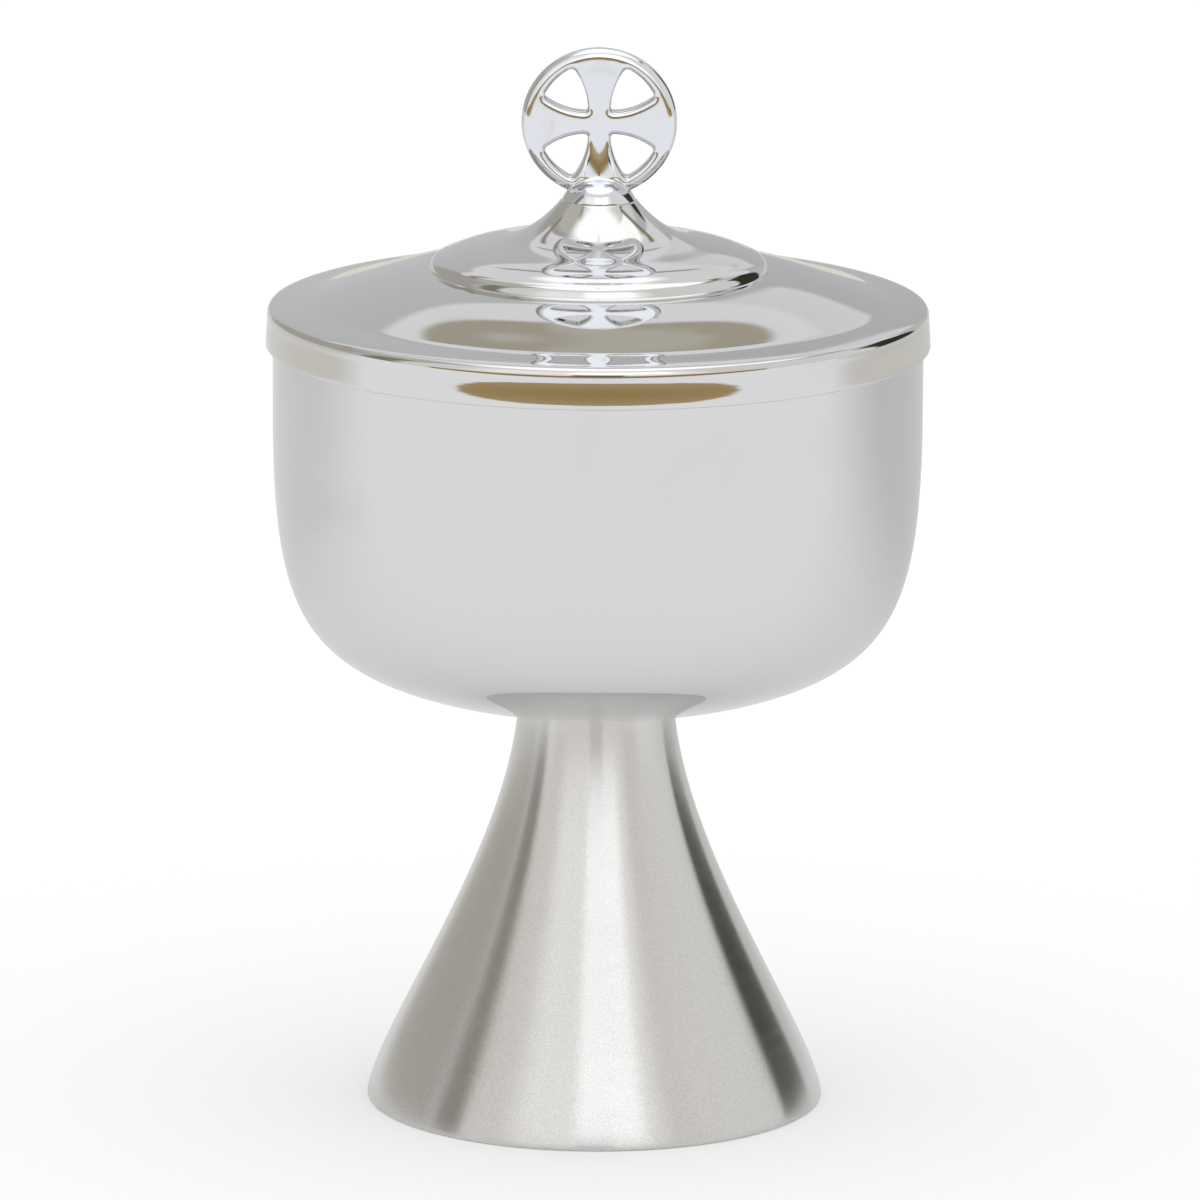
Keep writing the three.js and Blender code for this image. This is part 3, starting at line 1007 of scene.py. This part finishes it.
@dataclass
class Finial:
    """The cast ring cross with its boss, and the screwed joint under it."""

    base: float = 167.415
    boss_radius: float = 6.7
    boss_height: float = 4.4
    boss_root: float = 0.6
    centre_rise: float = 14.2
    half_width: float = 14.1
    half_height: float = 13.6
    thickness: float = 4
    outer_round: float = 1.75
    window_round: float = 0.95
    window_radius: float = 11.15
    corner_round: float = 0.7
    arm_half_width: float = 2.05
    arm_side_radius: float = 12.8
    voxel: float = 0.16
    smoothing: int = 10
    flare_start: float = 9.6
    flare_lean: float = 1.2
    flare_width: float = 2.6
    flare: float = 0.01
    stud_radius: float = 2
    stud_pitch: float = 0.7
    stud_in_boss: float = 3
    bore: float = 2.05
    lid_wall: float = 0.7
    washer_radius: float = 4.5
    washer: float = 0.8
    nut_flats: float = 7
    nut: float = 3.2
    stud_below_nut: float = 1.2

    def window(self) -> list[Vector]:
        """Returns the outline of one window, from the middle of its rim and back."""
        side_centre = Vector((self.arm_half_width + self.arm_side_radius, 0, self.arm_half_width))
        spread = side_centre.length
        squares = spread**2 + self.window_radius**2 - self.arm_side_radius**2
        along = squares / (2 * spread)
        across = math.sqrt(self.window_radius**2 - along**2)
        out = side_centre.normalized()
        corner = along * out + across * Vector((-out.z, 0, out.x))
        waist = Vector((self.arm_half_width, 0, self.arm_half_width))
        reach = corner - side_centre
        side_end = math.degrees(math.atan2(reach.z, reach.x)) % 360
        rim_end = math.degrees(math.atan2(corner.z, corner.x))
        upright = arc(side_centre, self.arm_side_radius, 180, side_end, 20)
        rim = arc(Vector(), self.window_radius, 45, rim_end, 16)
        half = rim + upright[-2::-1]
        other = [Vector((point.z, 0, point.x)) for point in reversed(half[:-1])]
        loop = half + other
        loop = eased(loop, corner, self.corner_round, 5)
        loop = eased(loop, waist, self.corner_round, 5)
        return eased(loop, Vector((corner.z, 0, corner.x)), self.corner_round, 5)[:-1]

    def wheel(self) -> Shape:
        """Returns the flat ring cross with its rounded edges."""
        outline = bpy.data.curves.new("Wheel", "CURVE")
        outline.dimensions = "2D"
        outline.fill_mode = "BOTH"
        outline.bevel_depth = self.window_round
        outline.bevel_resolution = 4
        outline.extrude = self.thickness / 2 - self.window_round
        outline.offset = -self.window_round
        window = self.window()
        loops = [arc(Vector(), self.half_width + self.outer_round, 0, 360, 160)[:-1]]
        for turn in range(4):
            spin = Matrix.Rotation(turn * math.pi / 2, 3, "Y")
            loops.append([spin @ point for point in reversed(window)])
        for loop in loops:
            spline = outline.splines.new("POLY")
            spline.points.add(len(loop) - 1)
            spline.use_cyclic_u = True
            for place, point in zip(spline.points, loop):
                place.co = (point.x, point.z, 0, 1)
        holder = bpy.data.objects.new("Wheel", outline)
        bpy.context.scene.collection.objects.link(holder)
        shape = released(holder)
        bmesh.ops.remove_doubles(shape, verts=shape.verts, dist=MERGE)
        bmesh.ops.recalc_face_normals(shape, faces=shape.faces)
        return shape

    def puck(self) -> Shape:
        """Returns the round blank that gives the ring its outer rounding."""
        shape = bmesh.new()
        bmesh.ops.create_cone(
            shape, cap_ends=True, segments=200, radius1=1, radius2=1, depth=self.thickness + 0.04
        )
        bmesh.ops.scale(shape, vec=(self.half_width, self.half_height, 1), verts=shape.verts)
        rims = [edge for edge in shape.edges if abs(edge.verts[0].co.z - edge.verts[1].co.z) < 0.1]
        bmesh.ops.bevel(
            shape,
            geom=rims,
            offset=self.outer_round,
            offset_type="OFFSET",
            affect="EDGES",
            segments=9,
            profile=0.5,
            material=-1,
        )
        return shape

    def thicken(self, shape: Shape) -> None:
        """Lets the lower arm grow thicker towards the boss, from higher up at its sides.

        Args:
            shape: The standing casting.
        """
        for vert in shape.verts:
            aside = abs(vert.co.x)
            start = self.flare_start + self.flare_lean * min(aside, self.flare_width)
            drop = max(0.0, start - vert.co.z)
            above = min(1.0, max(0.0, vert.co.z / self.boss_height))
            near = min(1.0, max(0.0, 2 - aside / self.flare_width))
            depth = min(1.0, max(-1.0, vert.co.y / (self.thickness / 2)))
            vert.co.y += self.flare * drop**2 * (above * near) * depth

    def casting(self) -> Shape:
        """Returns the ring cross and its boss in one, with soft fillets where they meet."""
        shape = combined(self.wheel(), self.puck(), Join.COMMON)
        stand = Matrix.Translation((0, 0, self.centre_rise)) @ Matrix.Rotation(math.pi / 2, 4, "X")
        bmesh.ops.transform(shape, matrix=stand, verts=shape.verts)
        sphere = (self.boss_radius**2 + self.boss_height**2) / (2 * self.boss_height)
        centre = at(0, self.boss_height - sphere)
        start = math.degrees(math.asin(-centre.z / sphere))
        dome = arc(centre, sphere, start, 90, 24)
        root = at(self.boss_radius, -self.boss_root)
        boss = spun([at(0, -self.boss_root), root, *dome], steps=SMALL_STEPS)
        holder = holder_of(shape, "Holder")
        boss_holder = holder_of(boss, "Boss")
        whole = bmesh.new()
        for part in (holder, boss_holder):
            whole.from_mesh(part.data)
            bpy.data.objects.remove(part, do_unlink=True)
        soft = holder_of(whole, "Casting")
        net = soft.modifiers.new("Net", "REMESH")
        net.mode = "VOXEL"
        net.voxel_size = self.voxel
        smooth = soft.modifiers.new("Smooth", "SMOOTH")
        smooth.factor = 0.5
        smooth.iterations = self.smoothing
        cast = released(soft)
        self.thicken(cast)
        cut_off(cast, 0, -1)
        capped(cast)
        end, tip = self.stud_in_boss + 0.3, self.stud_in_boss + 0.9
        bore = [at(0, -1), at(self.bore, -1), at(self.bore, end), at(0, tip)]
        cast = combined(cast, spun(bore, steps=48), Join.CUT)
        bmesh.ops.translate(cast, vec=(0, 0, self.base), verts=cast.verts)
        return cast

    def build(self, finishes: Finishes) -> None:
        """Builds and dresses the casting, its washer, nut and stud.

        Args:
            finishes: The object's materials.
        """
        cross = piece_of(self.casting(), "ring_cross", math.radians(60))
        settle(cross, Body.LID, Slot.CASTING, finishes.casting, "finial_ring_cross")
        washer = self.base - self.lid_wall - self.washer
        nut = washer - self.nut
        stud = nut - self.stud_below_nut
        stud_top = self.base + self.stud_in_boss
        shapes = {
            "finial_washer": FlatRing(self.bore, self.washer_radius, washer, washer + self.washer, 0.15),
            "finial_nut": HexNut(self.nut_flats, self.bore, nut, washer),
            "finial_stud": Thread(self.stud_radius, self.stud_pitch, stud, stud_top, 0.35),
        }
        for node, maker in shapes.items():
            piece = piece_of(maker.shape(), node.replace("_", "-"))
            settle(piece, Body.LID, Slot.PLAIN, finishes.plain, node)


# The studio


@dataclass(frozen=True)
class Panel:
    """A soft area of the studio that the metal reflects, by its direction from the vessel.

    The azimuth is 0 towards the camera and grows towards +X. All angles are in degrees. The slant is the
    panel's fall in elevation for each degree of azimuth, and the bow its fall for the square of that.
    """

    azimuth: float
    half_width: float
    low: float
    high: float
    softness: float
    colour: Colour
    slant: float = 0.0
    bow: float = 0.0


BACKGROUND: Colour = (0.59, 0.595, 0.60)
PANELS = (
    Panel(0, 76, -5, 64, 7, (0.83, 0.815, 0.79)),
    Panel(-4, 40, 5, 50, 10, (1.10, 1.095, 1.08)),
    Panel(8.5, 18.5, 12, 50, 4, (1.45, 1.46, 1.50)),
    Panel(48, 7, -5, 50, 4, (0.80, 0.785, 0.76)),
    Panel(-124, 30, -5, 60, 6, (0.46, 0.445, 0.405)),
    Panel(-81, 8, -5, 70, 4, (0.27, 0.25, 0.22)),
    Panel(97, 26, -5, 70, 6, (0.84, 0.83, 0.82)),
    Panel(170, 12, -12, 27, 2, (0.53, 0.53, 0.54)),
    Panel(180, 40, 29.5, 60, 1.2, (0.86, 0.86, 0.88), -0.15),
    Panel(169, 5, 18.5, 30, 1.2, (0.78, 0.78, 0.80)),
    Panel(180, 14, 44.2, 47.8, 0.7, (0.45, 0.41, 0.33), 0, 0.05),
    Panel(178, 7, 45.2, 47.8, 1, (0.54, 0.51, 0.44), 0, 0.05),
    Panel(150, 52, 50.5, 70, 2.5, (1.4, 1.4, 1.4)),
    Panel(0, 180, 66, 100, 7, (1.5, 1.5, 1.5)),
    Panel(-104, 26, 38, 62, 5, (0.60, 0.58, 0.52)),
    Panel(-142, 18, 38.8, 42.8, 1.8, (0.34, 0.31, 0.24)),
    Panel(126.5, 14.5, -5, 32, 2.5, (0.04, 0.04, 0.027)),
    Panel(124, 32, 45.9, 49.5, 1.6, (0.26, 0.23, 0.12), 0.18),
    Panel(0, 9, -5, 7, 1.5, (0.08, 0.08, 0.08)),
    Panel(0, 180, -90, -1.5, 1, (0.80, 0.77, 0.70)),
    Panel(0, 60, -90, 1, 1.5, (0.33, 0.22, 0.07)),
    Panel(0, 60, -90, -4, 1.5, (0.445, 0.34, 0.175)),
)


@dataclass
class Studio:
    """The floor, the light and the camera of the photograph."""

    camera_distance: float = 2.098
    camera_elevation: float = 12.47
    camera_roll: float = 0.3
    lens: float = 344.6
    target: tuple[float, float, float] = (0.000588, 0, 0.09296)
    floor_front: float = -1.25
    floor_back: float = 3.0
    floor_side: float = 3.0
    seen_tone: Colour = (0.94, 0.94, 0.94)
    seen_glow: Colour = (0.09, 0.09, 0.09)
    front_tone: Colour = (0.968, 0.968, 0.985)
    left_tone: Colour = (0.76, 0.76, 0.755)
    right_tone: Colour = (0.66, 0.66, 0.655)
    far_tone: Colour = (0.73, 0.705, 0.65)

    def camera(self) -> None:
        """Places the camera at the photograph's angle."""
        lens = bpy.data.cameras.new("Camera")
        lens.lens = self.lens
        lens.sensor_width = 36
        lens.clip_end = 20
        camera = bpy.data.objects.new("Camera", lens)
        rise = math.radians(self.camera_elevation)
        back = Vector((0, -math.cos(rise), math.sin(rise)))
        tilt = Matrix.Rotation(math.pi / 2 - rise, 4, "X")
        turn = tilt @ Matrix.Rotation(math.radians(self.camera_roll), 4, "Z")
        place = Vector(self.target) + self.camera_distance * back
        camera.matrix_world = Matrix.Translation(place) @ turn
        bpy.context.scene.collection.objects.link(camera)
        bpy.context.scene.camera = camera

    def floor(self) -> None:
        """Lays the pale floor. In the metal it is a little greyer behind the vessel."""
        shape = bmesh.new()
        bmesh.ops.create_grid(shape, x_segments=1, y_segments=1, size=0.5)
        depth = self.floor_back - self.floor_front
        bmesh.ops.scale(shape, vec=(2 * self.floor_side, depth, 1), verts=shape.verts)
        bmesh.ops.translate(shape, vec=(0, self.floor_front + depth / 2, 0), verts=shape.verts)
        floor = holder_of(shape, "Floor")
        paint, n = started("Floor")
        place = n.add("ShaderNodeSeparateXYZ", {0: n.add("ShaderNodeTexCoord").outputs["Object"]}).outputs
        behind = n.ramp(place[1], -0.15, 0.35)
        right = n.ramp(place[0], -0.2, 0.2)
        back_tone = n.mix(right, rgba(self.left_tone), rgba(self.right_tone))
        pale = n.mix(behind, rgba(self.front_tone), back_tone)
        far = n.math("MULTIPLY", behind, n.ramp(n.reach(place[0], place[1]), 0.7, 1.1))
        mirrored = n.mix(far, pale, rgba(self.far_tone))
        glossy = n.add("ShaderNodeLightPath").outputs["Is Glossy Ray"]
        tone = n.mix(glossy, rgba(self.seen_tone), mirrored)
        glow = n.mix(glossy, rgba(self.seen_glow), rgba((0, 0, 0)))
        lit = n.add("ShaderNodeBsdfDiffuse", {"Color": tone})
        shine = n.add("ShaderNodeEmission", {"Color": glow, "Strength": 1.0})
        both = n.add("ShaderNodeAddShader", {0: lit.outputs[0], 1: shine.outputs[0]})
        n.add("ShaderNodeOutputMaterial", {"Surface": both.outputs[0]})
        floor.data.materials.append(paint)

    def light(self) -> None:
        """Lights the scene from a world of soft panels."""
        world = bpy.data.worlds.new("Studio")
        bpy.context.scene.world = world
        world.use_nodes = True
        n = Nodes(world.node_tree)
        way = n.add("ShaderNodeTexCoord").outputs["Generated"]
        parts = n.add("ShaderNodeSeparateXYZ", {0: way}).outputs
        azimuth = n.math("DEGREES", n.math("ARCTAN2", parts[0], n.math("MULTIPLY", parts[1], -1.0)))
        elevation = n.math("DEGREES", n.math("ARCSINE", parts[2]))
        colour: object = rgba(BACKGROUND)
        for panel in PANELS:
            off = n.math("WRAP", n.math("SUBTRACT", azimuth, panel.azimuth), 180.0, -180.0)
            aside = n.math("ABSOLUTE", off)
            side = n.ramp(aside, panel.half_width + panel.softness, panel.half_width - panel.softness)
            level = n.math("MULTIPLY_ADD", off, panel.slant, elevation)
            level = n.math("MULTIPLY_ADD", n.math("MULTIPLY", off, off), panel.bow, level)
            low = n.ramp(level, panel.low - panel.softness, panel.low + panel.softness)
            high = n.ramp(level, panel.high + panel.softness, panel.high - panel.softness)
            share = n.math("MULTIPLY", side, n.math("MULTIPLY", low, high))
            colour = n.mix(share, colour, rgba(panel.colour))
        path = n.add("ShaderNodeLightPath").outputs
        seen = n.math("MAXIMUM", path["Is Glossy Ray"], path["Is Transmission Ray"])
        mirrored = n.add("ShaderNodeBackground", {"Color": colour, "Strength": 1.0})
        plain = n.add("ShaderNodeBackground", {"Color": rgba((1, 1, 1)), "Strength": 1.0})
        shown = n.add("ShaderNodeMixShader", {0: seen, 1: plain.outputs[0], 2: mirrored.outputs[0]})
        n.add("ShaderNodeOutputWorld", {"Surface": shown.outputs[0]})

    def build(self) -> None:
        """Builds the whole studio."""
        self.camera()
        self.floor()
        self.light()
        bpy.context.scene.view_settings.view_transform = "Standard"


def main() -> None:
    """Builds the ciborium and its studio."""
    logging.basicConfig(level=logging.INFO, format="%(name)s: %(message)s")
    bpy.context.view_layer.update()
    finishes = Finishes()
    for part in (Foot(), StemJoint(), Bowl(), Lid(), Finial()):
        part.build(finishes)
    Studio().build()


if __name__ == "__main__":
    main()
